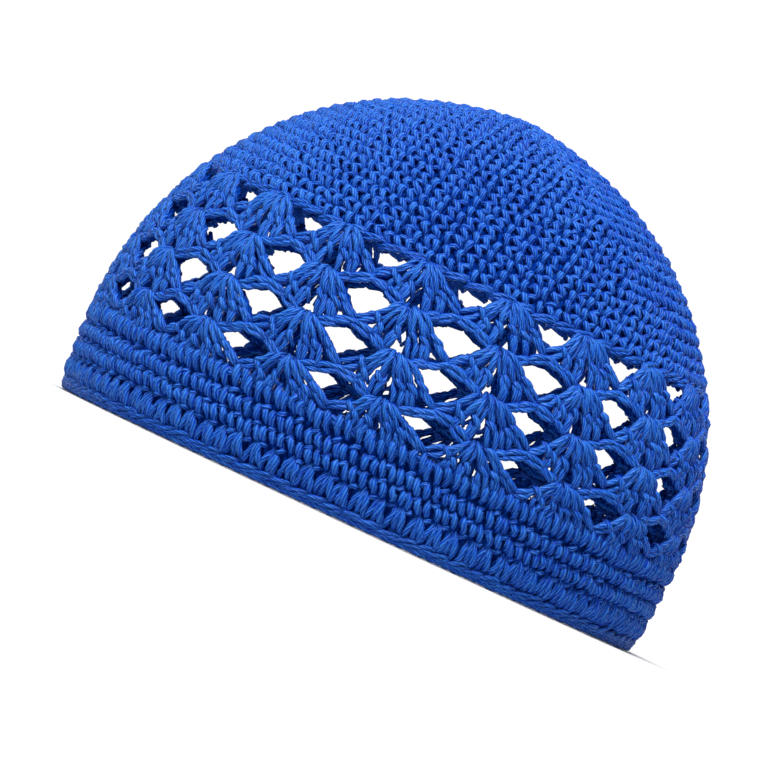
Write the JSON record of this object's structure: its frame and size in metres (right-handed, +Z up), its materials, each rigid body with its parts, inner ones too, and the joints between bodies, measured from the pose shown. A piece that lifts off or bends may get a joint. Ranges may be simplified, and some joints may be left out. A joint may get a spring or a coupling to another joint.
{
  "type": "crocheted beanie",
  "caption": "Brimless crocheted skull cap: a closed dome crown, an openwork band of fan-shaped shells, a close brim band and a braided rim edge.",
  "frame": {"origin": "middle of the rim, on the surface that the cap stands on", "axes": "+X side to side (the long way of the oval), +Y front to back, +Z up through the tip of the crown"},
  "size_m": [0.1876, 0.1776, 0.128],
  "materials": {
    "cotton_yarn": "royal blue plied cotton yarn, soft low sheen"
  },
  "bodies": {
    "root": {"crown": "cotton_yarn", "lace_band": "cotton_yarn", "brim_band": "cotton_yarn", "rim_edge": "cotton_yarn"}
  },
  "joints": []
}
